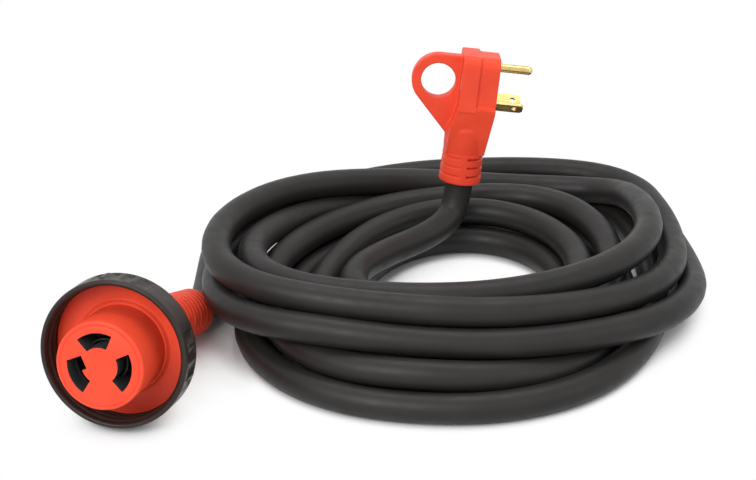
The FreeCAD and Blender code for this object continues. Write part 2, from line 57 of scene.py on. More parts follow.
def placed(origin, x_dir, z_dir):
    # Matrix from a local frame in millimetres to the row frame in metres
    z = z_dir.normalized()
    x = (x_dir - z * x_dir.dot(z)).normalized()
    y = z.cross(x)
    turn = Matrix((x, y, z)).transposed().to_4x4()
    return Matrix.Translation((origin + MOVE) * MM) @ turn @ Matrix.Scale(MM, 4)


face_out = Vector((
    -sin(CONNECTOR_YAW) * cos(CONNECTOR_TILT),
    -cos(CONNECTOR_YAW) * cos(CONNECTOR_TILT),
    sin(CONNECTOR_TILT),
))
level_right = Vector((cos(CONNECTOR_YAW), -sin(CONNECTOR_YAW), 0))
steep_up = face_out.cross(level_right)
connector_x = level_right * cos(CONNECTOR_ROLL) + steep_up * sin(CONNECTOR_ROLL)
CONNECTOR = placed(RING_CENTRE, connector_x, face_out)
boot_pivot = RING_CENTRE + face_out * SHELL_END
boot_axis = (BOOT_END - boot_pivot).normalized()
BOOT_LENGTH = (BOOT_END - boot_pivot).length
BOOT = placed(boot_pivot, Vector((1, 0, 0)), boot_axis)
PLUG = placed(PLUG_EXIT, Vector((1, 0, 0)), PLUG_LEAN)


# Materials

# The part of a noise's range over which it goes from its low value to its high one
RAMP_ENDS = (0.3, 0.7)


def add_node(tree, kind, **inputs):
    node = tree.nodes.new(kind)
    for name, value in inputs.items():
        node.inputs[name.replace("_", " ")].default_value = value
    return node


def noise(tree, scale, detail, roughness=0.5, stretch=None):
    # Noise in the row frame, so its grain has one size on every piece
    coords = tree.nodes.new("ShaderNodeTexCoord")
    source = coords.outputs["Object"]
    if stretch:
        mapping = add_node(tree, "ShaderNodeMapping", Scale=stretch)
        tree.links.new(source, mapping.inputs["Vector"])
        source = mapping.outputs["Vector"]
    made = add_node(tree, "ShaderNodeTexNoise", Scale=scale, Detail=detail, Roughness=roughness)
    tree.links.new(source, made.inputs["Vector"])
    return made.outputs["Fac"]


def ramp(tree, source, low, high):
    # From one colour, or one number, to another
    made = tree.nodes.new("ShaderNodeValToRGB")
    for element, place, value in zip(made.color_ramp.elements, RAMP_ENDS, (low, high)):
        element.position = place
        element.color = (*value, 1) if hasattr(value, "__len__") else (value, value, value, 1)
    tree.links.new(source, made.inputs["Fac"])
    return made.outputs["Color"]


def bumped(tree, shader, layers):
    # Each layer is (height, strength, distance in metres), the coarse ones first
    normal = None
    for height, strength, distance in layers:
        bump = add_node(tree, "ShaderNodeBump", Strength=strength, Distance=distance)
        tree.links.new(height, bump.inputs["Height"])
        if normal:
            tree.links.new(normal, bump.inputs["Normal"])
        normal = bump.outputs["Normal"]
    tree.links.new(normal, shader.inputs["Normal"])


def new_material(name, **values):
    material = bpy.data.materials.new(name)
    material.use_nodes = True
    tree = material.node_tree
    shader = tree.nodes["Principled BSDF"]
    for socket, value in values.items():
        shader.inputs[socket.replace("_", " ")].default_value = value
    return material, tree, shader


def moulding(name, dark, light, rough_low, rough_high, grain=0.25, specular=0.5):
    # Injection-moulded plastic: cloudy colour, uneven gloss and a fine spark-eroded grain
    material, tree, shader = new_material(name, Specular_IOR_Level=specular)
    cloud = noise(tree, 55, 4)
    tree.links.new(ramp(tree, cloud, dark, light), shader.inputs["Base Color"])
    patchy = noise(tree, 170, 3)
    tree.links.new(ramp(tree, patchy, rough_low, rough_high), shader.inputs["Roughness"])
    bumped(tree, shader, [
        (noise(tree, 90, 2), 0.25, 0.0002),
        (noise(tree, 2600, 2), grain, 0.00004),
    ])
    return material


def metal(name, dark, light, rough_low, rough_high):
    # Drawn metal: long faint scratches and slight tarnish
    material, tree, shader = new_material(name, Metallic=1.0)
    tarnish = noise(tree, 240, 4)
    tree.links.new(ramp(tree, tarnish, dark, light), shader.inputs["Base Color"])
    streaks = noise(tree, 900, 3, stretch=(0.08, 1.0, 1.0))
    tree.links.new(ramp(tree, streaks, rough_low, rough_high), shader.inputs["Roughness"])
    bumped(tree, shader, [(streaks, 0.2, 0.00003)])
    return material


def jacket(name):
    # Thermoplastic jacket: satin, with faint waves over the conductors and scuffs from handling
    material, tree, shader = new_material(name, Specular_IOR_Level=0.27)
    cloud = noise(tree, 26, 4)
    tree.links.new(ramp(tree, cloud, (0.0135, 0.0125, 0.0119), (0.0210, 0.0192, 0.0182)),
                   shader.inputs["Base Color"])
    scuffs = noise(tree, 140, 5, 0.6)
    tree.links.new(ramp(tree, scuffs, 0.40, 0.54), shader.inputs["Roughness"])
    bumped(tree, shader, [
        (noise(tree, 38, 2), 0.3, 0.0006),
        (noise(tree, 420, 3), 0.25, 0.00008),
        (noise(tree, 2400, 2), 0.2, 0.00004),
    ])
    return material


ORANGE = moulding("orange_moulding", (0.78, 0.062, 0.026), (0.88, 0.079, 0.033), 0.36, 0.48, specular=0.22)
ORANGE_RELIEF = moulding(
    "orange_relief", (0.76, 0.058, 0.025), (0.86, 0.074, 0.032), 0.38, 0.5, specular=0.22)
RING_BLACK = moulding(
    "ring_moulding", (0.021, 0.0165, 0.0140), (0.030, 0.0235, 0.0200), 0.32, 0.44, grain=0.2, specular=0.24)
# Painted shade: a dark grey material for the slot walls, standing in for the shade deep in the slots
SLOT_PAINTED_SHADE = moulding("slot_painted_shade", (0.040, 0.046, 0.046), (0.056, 0.062, 0.062), 0.5, 0.65)
CARRIER = moulding("carrier_moulding", (0.55, 0.52, 0.45), (0.65, 0.62, 0.55), 0.4, 0.55)
BRASS = metal("brass_drawn", (0.62, 0.43, 0.15), (0.80, 0.60, 0.26), 0.18, 0.34)
# Painted shade: the contacts' metal is made dark grey, as it looks deep in the shaded slots
CONTACT_PAINTED_SHADE = metal("contact_metal_painted_shade", (0.035, 0.036, 0.034), (0.06, 0.06, 0.055), 0.5, 0.65)
JACKET = jacket("cord_jacket")
WIRE_COLOURS = {"hot": (0.02, 0.02, 0.02), "neutral": (0.7, 0.7, 0.68), "ground": (0.03, 0.22, 0.06)}
WIRES = {
    name: moulding("wire_" + name, [c * 0.85 for c in colour], colour, 0.35, 0.5)
    for name, colour in WIRE_COLOURS.items()
}


# Mesh helpers

SEGMENTS = 240
ARC_STEPS = 4
LEG_SHARE = 0.46
LEAST_TURN = 0.01
SHARP_ANGLE = radians(35)

# Points of the boot and of the plug's relief that lie nearer to the axis belong to the bore
BORE_LIMIT = 10.0


def new_piece(name, mesh, material, node, body=BODY):
    piece = bpy.data.objects.new(name, mesh)
    bpy.context.scene.collection.objects.link(piece)
    if not mesh.materials:
        mesh.materials.append(material)
    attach(piece, body)
    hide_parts(node)


def rounded(corners):
    # Rounds a closed outline of (x, y, radius) corners, with a point beside each arc to hold flats flat.
    # An arc takes at most LEG_SHARE of either edge.
    result = []
    count = len(corners)
    for i, (x, y, radius) in enumerate(corners):
        here = Vector((x, y))
        before = Vector(corners[i - 1][:2]) - here
        after = Vector(corners[(i + 1) % count][:2]) - here
        turn = pi - before.angle(after)
        if radius == 0 or turn < LEAST_TURN:
            result.append(here)
            continue
        leg = min(radius * tan(turn / 2), LEG_SHARE * before.length, LEG_SHARE * after.length)
        radius = leg / tan(turn / 2)
        u, w = before.normalized(), after.normalized()
        centre = here + (u + w).normalized() * (radius / cos(turn / 2))
        hold = min(0.25 * radius, 0.1 * leg + 0.03)
        result.append(here + u * (leg + hold))
        first = here + u * leg - centre
        sign = 1 if first.cross(here + w * leg - centre) > 0 else -1
        for k in range(ARC_STEPS + 1):
            angle = sign * turn * k / ARC_STEPS
            result.append(centre + Vector((
                first.x * cos(angle) - first.y * sin(angle),
                first.x * sin(angle) + first.y * cos(angle),
            )))
        result.append(here + w * (leg + hold))
    return result


def divided(outline, longest):
    # Adds points on the long edges of a closed outline
    result = []
    for a, b in zip(outline, outline[1:] + outline[:1]):
        steps = max(1, round((b - a).length / longest))
        result += [a.lerp(b, k / steps) for k in range(steps)]
    return result


def lathe(outline, segments, matrix, warp=None):
    # Turns a closed outline of (radius, height) about Z; warp may change a point's radius
    mesh = bpy.data.meshes.new("lathe")
    verts, faces = [], []
    rows = len(outline)
    for i in range(segments):
        angle = 2 * pi * i / segments
        for p in outline:
            r = warp(p.x, angle, p.y) if warp else p.x
            verts.append(matrix @ Vector((r * cos(angle), r * sin(angle), p.y)))
    for i in range(segments):
        for j in range(rows):
            a, b = i * rows, (i + 1) % segments * rows
            k = (j + 1) % rows
            faces.append((a + j, b + j, b + k, a + k))
    mesh.from_pydata(verts, [], faces)
    finish_mesh(mesh)
    return mesh


def finish_mesh(mesh):
    work = bmesh.new()
    work.from_mesh(mesh)
    bmesh.ops.recalc_face_normals(work, faces=work.faces)
    work.to_mesh(mesh)
    work.free()
    mesh.shade_smooth()


def evaluated_mesh(obj):
    bpy.context.view_layer.update()
    graph = bpy.context.evaluated_depsgraph_get()
    return bpy.data.meshes.new_from_object(obj.evaluated_get(graph), depsgraph=graph)


def joined_mesh(meshes):
    work = bmesh.new()
    for mesh in meshes:
        work.from_mesh(mesh)
    bmesh.ops.remove_doubles(work, verts=work.verts, dist=1e-7)
    joined = bpy.data.meshes.new("joined")
    work.to_mesh(joined)
    work.free()
    return joined


def turned(outline, segments):
    # Turns an open outline of (radius, height) that starts and ends on the axis, closed at both poles
    mesh = bpy.data.meshes.new("turned")
    top, *rows, bottom = [Vector(p) for p in outline]
    verts = [(0, 0, top.y), (0, 0, bottom.y)]
    faces = []
    count = len(rows)
    for i in range(segments):
        angle = 2 * pi * i / segments
        verts += [(p.x * cos(angle), p.x * sin(angle), p.y) for p in rows]
    for i in range(segments):
        a, b = 2 + i * count, 2 + (i + 1) % segments * count
        faces.append((0, a, b))
        faces += [(a + j, a + j + 1, b + j + 1, b + j) for j in range(count - 1)]
        faces.append((1, b + count - 1, a + count - 1))
    mesh.from_pydata(verts, [], faces)
    finish_mesh(mesh)
    return mesh


def prism(outline, low, high, material):
    # A closed prism over an outline of (x, y) points
    mesh = bpy.data.meshes.new("prism")
    count = len(outline)
    verts = [(p[0], p[1], low) for p in outline] + [(p[0], p[1], high) for p in outline]
    faces = [tuple(range(count))[::-1], tuple(range(count, 2 * count))]
    faces += [(k, (k + 1) % count, count + (k + 1) % count, count + k) for k in range(count)]
    mesh.from_pydata(verts, [], faces)
    mesh.materials.append(material)
    finish_mesh(mesh)
    return mesh


def cut(mesh, cutters):
    # The mesh less each cutter; the cut walls keep the cutter's material
    holder = bpy.data.objects.new("cut_work", mesh)
    bpy.context.scene.collection.objects.link(holder)
    tools = []
    for cutter in cutters:
        tool = bpy.data.objects.new("cutter", cutter)
        bpy.context.scene.collection.objects.link(tool)
        tools.append(tool)
        boolean = holder.modifiers.new("cut", "BOOLEAN")
        boolean.operation = "DIFFERENCE"
        boolean.solver = "EXACT"
        boolean.material_mode = "TRANSFER"
        boolean.object = tool
    result = evaluated_mesh(holder)
    for obj in [holder] + tools:
        bpy.data.objects.remove(obj)
    result.shade_smooth()
    result.set_sharp_from_angle(angle=SHARP_ANGLE)
    return result


def near(angle, centre):
    # Signed difference of two angles, in radians, from -pi to pi
    return (angle - centre + pi) % (2 * pi) - pi


def smooth_step(low, high, x):
    t = min(1.0, max(0.0, (x - low) / (high - low)))
    return t * t * (3 - 2 * t)


def plateau(x, start, full, fading, end):
    # Rises smoothly from 0 to 1 between start and full, and falls again between fading and end
    return smooth_step(start, full, x) * (1 - smooth_step(fading, end, x))


# Cord: one spline from the connector's boot to the plug, through the loose turns of the pile.
# Each turn has its stations at the back, right, front and left, set from the photograph; the
# last one ends on its way to the plug. Both leads have a few points of their own.

TURNS = [
    [(110, 72, 8.5), (187, -77, 12), (38, -187, 27), (-95, -112, 30)],
    [(130, 54, 16), (176, -68, 27), (38, -178, 44), (-97, -98, 43)],
    [(125, 34, 16), (163, -58, 44), (38, -160, 46), (-73, -100, 41)],
    [(110, 50, 8.5), (165, -84, 8.5), (38, -213, 8.5), (-74, -116, 8.5)],
    [(35, 33, 8.5), (148, -84, 8.5), (38, -204, 23.5), (-79, -109, 28)],
    [(75, 22, 20), (139.5, -82, 24), (37, -196, 8.5), (-56, -114, 8.5)],
    [(48, 14, 8.5), (131, -84, 8.5), (36, -179, 8.5), (-38, -108, 8.5)],
    [(50, 2, 22), (122.5, -82, 23.5), (36, -170, 25), (-20, -104, 8.5)],
    [(44, -9, 8.5), (115, -80, 8.5), (34, -157, 15)],
]
HEADINGS = [Vector((1, 0, 0)), Vector((0, -1, 0)), Vector((-1, 0, 0)), Vector((0, 1, 0))]
COIL_START = Vector((-102.5, -55, CORD_R))
COIL_END = Vector((-7, -76, 25))
COIL_END_HEADING = Vector((0.76, 0.65, 0)).normalized()
END_STRAIGHT = 17.0
PLUG_LEAD_START = 16.0
LEAD_RISE = [Vector((31.5, -43.5, 26)), Vector((43.2, -32, 29.5))]
PLUG_STRAIGHT = 15.2
ARC_OVER_CHORD = 1.11
TURN_POINTS = 16
CONNECTOR_LEAD_POINTS = 3
PLUG_LEAD_POINTS = 6

# How the pile settles. The outer turns are held more firmly than the inner ones, points less than
# SAME_STRAND apart along the cord don't push each other, and the boot pushes only past BOOT_LEAD.
ROUNDS = 130
FADING_ROUNDS = 104
OUTER_TURNS = 4.1
OUTER_HOLD = 0.075
INNER_HOLD = 0.009
COIL_END_FREEDOM = 0.4
LASTING = 0.3
SINKING = 0.12
STRAIGHTENING = 0.08
PUSHING = 1.25
PUSHES_A_ROUND = 2
LEAST_PUSH = 0.02
LEAST_WEIGHT = 1e-6
SPAN_SAMPLES = 5
STRAND_SPACING = 2 * CORD_R + 0.5
SAME_STRAND = 50.0
FRONT_LIMIT = -214.0
BOOT_SPHERES = 31
BOOT_KEEP_OUT = (16.5, 14.3)
BOOT_LEAD = 60.0


def coil_points():
    # Four control points to each quarter turn. Each quarter leaves one station and meets the next
    # along the station's heading, so the turns fan out and lie on each other as the stations say.
    stations = [COIL_START] + [Vector(p) for turn in TURNS for p in turn] + [COIL_END]
    headings = [Vector((0, 1, 0))]
    for i in range(1, len(stations) - 1):
        before, here, after = stations[i - 1:i + 2]
        length = ARC_OVER_CHORD * ((here - before).length + (after - here).length)
        slope = 0 if here.z <= CORD_R else (after.z - before.z) / length
        headings.append((HEADINGS[(i - 1) % 4] + Vector((0, 0, slope))).normalized())
    headings.append(COIL_END_HEADING)
    points = []
    for i in range(len(stations) - 1):
        points += quarter_points(stations[i], headings[i], stations[i + 1], headings[i + 1])
    return points


def quarter_points(start, start_heading, end, end_heading):
    # Two arcs that meet halfway: one leaves the start along its heading, the other reaches the end
    across = end - start
    a = 2 * (1 - start_heading.dot(end_heading))
    b = 2 * across.dot(start_heading + end_heading)
    leg = (-b + sqrt(b * b + 4 * a * across.dot(across))) / (2 * a)
    first, second = start + start_heading * leg, end - end_heading * leg
    middle = (first + second) / 2
    return arc_corners(start, first, middle) + arc_corners(middle, second, end)


def arc_corners(start, corner, end):
    # Two corners in place of one, each around half of the same arc
    u, w = (corner - start).normalized(), (end - corner).normalized()
    turn = acos(max(-1.0, min(1.0, u.dot(w))))
    radius = (corner - start).length / tan(turn / 2)
    leg = radius * tan(turn / 4)
    return [start + u * leg, end - w * leg]


def cord_points():
    up = PLUG_LEAN.normalized()
    to_floor = (BOOT_END.z - CORD_R) / -boot_axis.z
    finish = COIL_END + COIL_END_HEADING * END_STRAIGHT
    return (
        [BOOT_END, BOOT_END + boot_axis * to_floor, COIL_START - Vector((0, END_STRAIGHT, 0))]
        + coil_points()
        + [finish, finish + COIL_END_HEADING * PLUG_LEAD_START]
        + LEAD_RISE
        + [PLUG_EXIT - up * PLUG_STRAIGHT, PLUG_EXIT]
    )


def spline_weights(count):
    # Rows that turn control points into points on the quadratic spline
    rows = numpy.zeros(((count - 2) * SPAN_SAMPLES, count))
    for i in range(count - 2):
        for k in range(SPAN_SAMPLES):
            t = (k + 0.5) / SPAN_SAMPLES
            first = (1 - t) ** 2 * (1.0 if i == 0 else 0.5)
            last = t * t * (1.0 if i == count - 3 else 0.5)
            rows[i * SPAN_SAMPLES + k, i:i + 3] = first, 1 - first - last, last
    return rows


def boot_spheres():
    # The boot as a row of spheres along its axis
    centres = [tuple(boot_pivot.lerp(BOOT_END, k / (BOOT_SPHERES - 1))) for k in range(BOOT_SPHERES)]
    return numpy.array(centres), numpy.linspace(*BOOT_KEEP_OUT, BOOT_SPHERES)


def pushes(line, pairs, boot, past_boot):
    # What moves each point of the line out of the other strands, the boot and the floor, and its weight
    push = numpy.zeros_like(line)
    share = numpy.zeros((len(line), 1))
    gap = line[:, None] - line
    square = (gap ** 2).sum(2)
    a, b = numpy.where((square < STRAND_SPACING ** 2) & pairs)
    far = numpy.sqrt(square[a, b])[:, None]
    over = (STRAND_SPACING - far) / 2
    for strand, sign in ((a, 1), (b, -1)):
        numpy.add.at(push, strand, sign * gap[a, b] / far * over * (over + LEAST_PUSH))
        numpy.add.at(share, strand, over + LEAST_PUSH)
    centres, radii = boot
    away = line[:, None] - centres
    far = numpy.sqrt((away ** 2).sum(2))
    a, b = numpy.where((far < radii + CORD_R) & past_boot[:, None])
    over = (radii[b] + CORD_R - far[a, b])[:, None]
    numpy.add.at(push, a, away[a, b] / far[a, b][:, None] * over * (over + LEAST_PUSH))
    numpy.add.at(share, a, over + LEAST_PUSH)
    low = line[:, 2] < CORD_R
    push[low, 2] += CORD_R - line[low, 2]
    share[low] += 1
    return push, share


def settled(points):
    # Lets the pile come to rest: the turns sink, straighten a little and push each other apart,
    # while each is drawn back to its place. Both leads stay where they are.
    start = numpy.array([tuple(p) for p in points])
    place = start.copy()
    count = len(start)
    free = numpy.ones((count, 1))
    free[-PLUG_LEAD_POINTS - 2:] = COIL_END_FREEDOM
    free[:CONNECTOR_LEAD_POINTS + 2] = free[-PLUG_LEAD_POINTS:] = 0
    coil_count = count - CONNECTOR_LEAD_POINTS - PLUG_LEAD_POINTS
    turn = numpy.zeros(count)
    turn[CONNECTOR_LEAD_POINTS:-PLUG_LEAD_POINTS] = (numpy.arange(coil_count) + 0.5) / TURN_POINTS
    hold = numpy.where(turn < OUTER_TURNS, OUTER_HOLD, INNER_HOLD)[:, None]
    weights = spline_weights(count)
    line = weights @ place
    along = numpy.cumsum(numpy.linalg.norm(numpy.diff(line, axis=0, prepend=line[:1]), axis=1))
    pairs = numpy.triu(numpy.abs(along[:, None] - along) > SAME_STRAND)
    boot = boot_spheres()
    for n in range(ROUNDS):
        fade = max(0.0, 1 - n / FADING_ROUNDS)
        lasting = LASTING + (1 - LASTING) * fade
        place += free * hold * (start - place) * lasting
        place[:, 2] -= SINKING * fade * free[:, 0]
        bend = numpy.zeros_like(place)
        bend[2:-2] = (4 * place[1:-3] + 4 * place[3:-1] - place[:-4] - place[4:]) / 6 - place[2:-2]
        place += STRAIGHTENING * free * bend * lasting
        for _ in range(PUSHES_A_ROUND):
            push, share = pushes(weights @ place, pairs, boot, along > BOOT_LEAD)
            weight = weights.T @ share
            step = (weights.T @ push) / numpy.maximum(weight, LEAST_WEIGHT) * (weight > LEAST_WEIGHT)
            place += free * PUSHING * step
            place[:, 2] = numpy.where(free[:, 0] > 0, numpy.maximum(place[:, 2], CORD_R), place[:, 2])
            place[:, 1] = numpy.maximum(place[:, 1], FRONT_LIMIT)
    return [Vector(p) for p in place]


def build_cord():
    curve = bpy.data.curves.new("cord", "CURVE")
    curve.dimensions = "3D"
    curve.bevel_depth = CORD_R * MM
    curve.bevel_resolution = 7
    curve.resolution_u = 8
    points = settled(cord_points())
    spline = curve.splines.new("NURBS")
    spline.points.add(len(points) - 1)
    for point, p in zip(spline.points, points):
        point.co = (*((p + MOVE) * MM), 1)
    spline.order_u = 3
    spline.use_endpoint_u = True
    curve.materials.append(JACKET)
    piece = bpy.data.objects.new("power_cord", curve)
    bpy.context.scene.collection.objects.link(piece)
    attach(piece, BODY)
    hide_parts("connector_lead", "cord_coil", "plug_lead")
    return piece


cord_piece = build_cord()


# Connector

# The slots by their first and last angle, and the corners (x, y, radius) of the ground slot's tab
SLOTS = {"hot": (26.0, 91.0), "neutral": (272.0, 345.0), "ground": (134.0, 197.0)}
GROUND_TAB = [(-12.9, 13.0, 0.4), (-4.3, 10.2, 0.4), (-6.5, 3.0, 0.4), (-11.2, 4.7, 0.4)]
SLOT_IN_R = 9.8
SLOT_OUT_R = 17.6
SLOT_FLOOR = 8.0
SLOT_CORNER_R = 0.45
SLOT_STEPS = 24
BOSS_R = 23.7
BOSS_SEAT = -10.0
BOSS_FACE = 28.0
FLANGE_R = 37.4
FLANGE_FRONT = -6.0
FLANGE_BACK = -8.6
NECK_R = 31.5
SHELL_END_R = 17.5
SHELL_BORE_R = 7.6
HOLLOW_R = 19.5
BOSS_HOLE_R = 23.4
LONGEST_EDGE = 3.0


def build_shell():
    outline = rounded([
        (26.0, FLANGE_FRONT, 1.0), (FLANGE_R, FLANGE_FRONT, 0.4), (FLANGE_R, FLANGE_BACK, 0.3),
        (NECK_R, FLANGE_BACK, 0.5), (NECK_R, -12.5, 2.0), (29.5, -20.0, 6.0), (18.3, -36.5, 1.0),
        (SHELL_END_R, SHELL_END, 0.4), (SHELL_BORE_R, SHELL_END, 0.3), (SHELL_BORE_R, -36.5, 0.2),
        (9.5, -34.0, 0.5), (HOLLOW_R, -20.0, 1.0), (HOLLOW_R, BOSS_SEAT, 0.3), (BOSS_HOLE_R, BOSS_SEAT, 0.2),
        (BOSS_HOLE_R, -4.2, 0.3), (24.6, -4.2, 0.5),
    ])
    mesh = lathe(divided(outline, LONGEST_EDGE), SEGMENTS, CONNECTOR)
    new_piece("connector_body", mesh, ORANGE, "connector_shell")


def slot_prism(name):
    start, end = SLOTS[name]
    angles = [radians(start + (end - start) * k / SLOT_STEPS) for k in range(SLOT_STEPS + 1)]
    outer = [(SLOT_OUT_R * cos(a), SLOT_OUT_R * sin(a), 0) for a in angles]
    inner = [(SLOT_IN_R * cos(a), SLOT_IN_R * sin(a), 0) for a in reversed(angles)]
    corners = outer + inner
    for k in (0, SLOT_STEPS, SLOT_STEPS + 1, -1):
        corners[k] = (*corners[k][:2], SLOT_CORNER_R)
    return prism(rounded(corners), SLOT_FLOOR, BOSS_FACE + 1, SLOT_PAINTED_SHADE)


def build_block():
    # A boss with a fine ring line on its face; the slots are cut into it, and their walls keep a dark
    # material that is painted shade for the deep slots
    ring_line = [(21.15, BOSS_FACE), (21.3, 27.9), (21.4, 27.65), (21.8, 27.65), (21.9, 27.9),
                 (22.05, BOSS_FACE)]
    edge = [(22.7, BOSS_FACE), (23.1, 27.9), (23.45, 27.65), (23.62, 27.3), (BOSS_R, 26.8)]
    side = [(BOSS_R, 20.0), (BOSS_R, 12.0), (BOSS_R, 4.0), (BOSS_R, -3.4), (23.3, -3.8), (23.3, BOSS_SEAT)]
    mesh = turned([(0, BOSS_FACE)] + ring_line + edge + side + [(0, BOSS_SEAT)], SEGMENTS)
    mesh.materials.append(ORANGE)
    cutters = [slot_prism(name) for name in SLOTS]
    cutters.append(prism(rounded(GROUND_TAB), SLOT_FLOOR, BOSS_FACE + 1, SLOT_PAINTED_SHADE))
    mesh = cut(mesh, cutters)
    mesh.transform(CONNECTOR)
    new_piece("boss_with_slots", mesh, ORANGE, "contact_block")


# Locking ring

RING_BORE_R = 37.45
RING_R = 40.5
RING_LIP_R = 32.2
RING_LIP_FRONT = -8.7
RING_BACK = -11.0
RING_FRONT = 10.0
GRIP_ANGLES = [radians(a + 90 * quarter) for quarter in range(4) for a in (33.4, 58.4)]
GRIP_HALF = 1.3
GRIP_HEIGHT = 0.7
GRIP_LOW = -4.5
GRIP_HIGH = 6.5
DISH_R = 7.0
DISH_DEPTH = 0.9
DISH_APART = radians(7.0)
GRIP_REACH = 0.35
THREAD_PITCH = 5.0
THREAD_HEIGHT = 1.1
RING_SEGMENTS = 480

# Where the dishes and the thread start, are full, fade and end: heights, and shares of the pitch
DISH_ENDS = (-5.5, -4.0, 5.0, 6.5)
THREAD_ENDS = (-5.0, -3.5, 6.6, 8.4)
THREAD_FORM = (0.18, 0.42, 0.58, 0.82)


def ring_warp(r, angle, z):
    # The thread in the bore, and two dishes beside each raised grip on the outer wall
    if abs(r - RING_BORE_R) < 0.01:
        phase = (z / THREAD_PITCH - angle / (2 * pi)) % 1.0
        return r - THREAD_HEIGHT * plateau(z, *THREAD_ENDS) * plateau(phase, *THREAD_FORM)
    if r < RING_R - 1.2 or z < -6.5:
        return r
    grown = r
    dish_at = RING_R + DISH_R - DISH_DEPTH
    for centre in GRIP_ANGLES:
        offset = near(angle, centre)
        if abs(offset) > GRIP_REACH:
            continue
        for side in (-DISH_APART, DISH_APART):
            reach = abs(offset - side) * dish_at
            if reach < DISH_R:
                dish = dish_at - sqrt(DISH_R ** 2 - reach ** 2)
                grown = min(grown, r + min(0.0, dish - r) * plateau(z, *DISH_ENDS))
    for centre in GRIP_ANGLES:
        across = abs(near(angle, centre)) * RING_R
        if across < GRIP_HALF + 0.5:
            ends = plateau(z, GRIP_LOW, GRIP_LOW + 1.0, GRIP_HIGH - 1.0, GRIP_HIGH)
            share = ends * (1 - smooth_step(GRIP_HALF - 0.3, GRIP_HALF + 0.4, across))
            grown += (RING_R + GRIP_HEIGHT - grown) * share
    return grown


def build_ring():
    # Close rows where the grips shape the wall and the thread the bore
    outer = [(RING_LIP_R, RING_BACK), (34.5, RING_BACK), (36.6, RING_BACK), (37.3, -10.9), (38.1, -10.2),
             (39.5, -8.6), (40.0, -7.6), (40.4, -6.2)]
    outer += [(RING_R, -5.8 + 0.4 * k) for k in range(36)]
    front = [(RING_R - 0.06, 8.8), (RING_R - 0.25, 9.3), (RING_R - 0.6, 9.7), (RING_R - 1.0, 9.92),
             (RING_R - 1.4, RING_FRONT), (RING_R - 1.8, 9.97), (RING_R - 2.3, 9.8), (RING_R - 2.7, 9.5),
             (RING_R - 2.95, 9.05)]
    bore = [(RING_BORE_R, 8.6 - 0.3 * k) for k in range(47)]
    back = [(RING_BORE_R, -7.2), (RING_BORE_R, RING_LIP_FRONT), (34.0, RING_LIP_FRONT),
            (RING_LIP_R, RING_LIP_FRONT), (RING_LIP_R, -10.0)]
    outline = [Vector(p) for p in outer + front + bore + back]
    mesh = lathe(outline, RING_SEGMENTS, CONNECTOR, ring_warp)
    new_piece("ring_with_grips", mesh, RING_BLACK, "locking_ring", RING_BODY)


# Boot

BOOT_START_R = 16.0
BOOT_TIP_R = 13.9
BOOT_BORE_R = 8.55
BOOT_ROWS = 150
GROOVES = 8
GROOVE_FIRST = 7.0
GROOVE_STEP = 4.4
GROOVE_DEPTH = 1.15
GROOVE_HALF = (0.35, 1.25)
WEB_HALF = (radians(14), radians(24))
WEB_SHARE = 0.35
BOOT_SEGMENTS = 200


def build_boot():
    end = BOOT_LENGTH
    outline = [(BOOT_BORE_R, -1.0), (BOOT_START_R, -1.0), (BOOT_START_R, 1.5)]
    low, high = 2.0, end - 4.2
    for k in range(BOOT_ROWS + 1):
        r = BOOT_START_R + (BOOT_TIP_R - BOOT_START_R) * k / BOOT_ROWS
        outline.append((r, low + (high - low) * k / BOOT_ROWS))
    outline += [(BOOT_TIP_R, end - 3.2), (13.8, end - 2.2), (13.5, end - 1.3), (13.0, end - 0.6),
                (12.3, end - 0.2), (11.5, end), (9.6, end), (9.0, end - 0.1), (8.65, end - 0.4),
                (BOOT_BORE_R, end - 0.9)]

    def grooves(r, angle, z):
        # Rounded grooves near the cord's exit; opposite webs are left, shifted from groove to groove
        if r < BORE_LIMIT or z > end - 5.0:
            return r
        for i in range(GROOVES):
            middle = end - GROOVE_FIRST - GROOVE_STEP * i
            depth = 1 - smooth_step(*GROOVE_HALF, abs(z - middle))
            if depth > 0:
                turn = abs(near(2 * angle, radians(180 * (i % 2)))) / 2
                open_share = smooth_step(*WEB_HALF, turn)
                r -= GROOVE_DEPTH * depth * (WEB_SHARE + (1 - WEB_SHARE) * open_share)
        return r

    mesh = lathe([Vector(p) for p in outline], BOOT_SEGMENTS, BOOT, grooves)
    new_piece("boot_with_grooves", mesh, ORANGE_RELIEF, "connector_boot")


# Plug

RELIEF_SLOTS = [4.7, 10.3, 15.7]
RELIEF_LENGTH = 19.0
RELIEF_START_R = 12.98
RELIEF_TOP_R = 12.5
RELIEF_ROWS = 110
DEEP_SLOT = 3.2
DEEP_CENTRE = radians(-12)
DEEP_REACH = (radians(63), radians(66))
SHALLOW_SLOT = 0.7
SHALLOW_CENTRE = radians(189)
SHALLOW_REACH = (radians(70), radians(80))
TONGUE_LEAN = 0.05
TONGUE_SEGMENTS = 120
HOUSING_CELL = 0.45
RELAX_ROUNDS = 10
PIN_EDGE = 0.22


